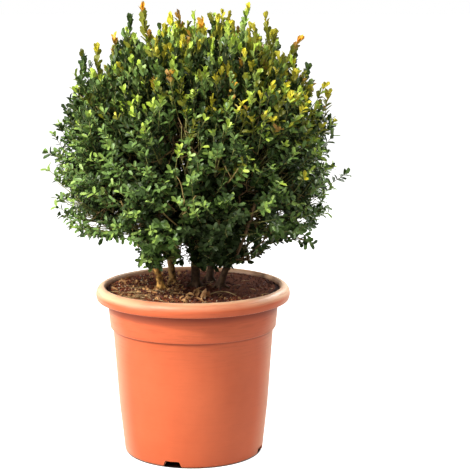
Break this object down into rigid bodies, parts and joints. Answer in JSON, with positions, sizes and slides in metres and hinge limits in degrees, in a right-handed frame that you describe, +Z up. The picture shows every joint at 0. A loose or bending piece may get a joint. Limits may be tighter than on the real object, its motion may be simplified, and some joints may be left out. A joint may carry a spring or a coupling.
{
  "type": "box topiary ball in a pot",
  "caption": "Clipped evergreen box ball on short woody stems, rooted in a round tapered plastic pot with a rolled rim; decorates patios and doorways.",
  "frame": {"origin": "centre of the pot's flat underside", "axes": "+Z up through the middle of the pot and plant, -Y the front seen in the picture, +X to its right"},
  "size_m": [0.4609, 0.4411, 0.6912],
  "materials": {
    "pot": "satin terracotta-coloured moulded plastic",
    "soil": "dark brown crumbly potting soil",
    "wood": "ochre-brown finely cracked bark",
    "foliage": "small glossy evergreen leaves with yellow-green tips"
  },
  "bodies": {
    "root": {"pot": "pot", "soil": "soil", "stem_front_left": "wood", "stem_left_back": "wood", "stem_centre": "wood", "stem_right": "wood", "stem_back": "wood", "bough_low_left": "wood", "bough_upper_left_front": "wood", "bough_lower_left": "wood", "bough_lower_left_back": "wood", "bough_upper_left_back": "wood", "bough_low_back": "wood", "bough_top": "wood", "bough_upper_front": "wood", "bough_lower_front": "wood", "bough_lower_left_front": "wood", "bough_low_right": "wood", "bough_low_front": "wood", "bough_lower_right_front": "wood", "bough_upper_right_front": "wood", "bough_lower_right_back": "wood", "bough_lower_back": "wood", "bough_upper_right_back": "wood", "bough_low_right_back": "wood", "foliage_top": "foliage", "foliage_upper_front": "foliage", "foliage_upper_right_front": "foliage", "foliage_upper_right_back": "foliage", "foliage_upper_left_back": "foliage", "foliage_upper_left_front": "foliage", "foliage_lower_front": "foliage", "foliage_lower_right_front": "foliage", "foliage_lower_right_back": "foliage", "foliage_lower_back": "foliage", "foliage_lower_left_back": "foliage", "foliage_lower_left": "foliage", "foliage_lower_left_front": "foliage", "foliage_low_left": "foliage", "foliage_low_front": "foliage", "foliage_low_right": "foliage", "foliage_low_right_back": "foliage", "foliage_low_back": "foliage"}
  },
  "joints": []
}
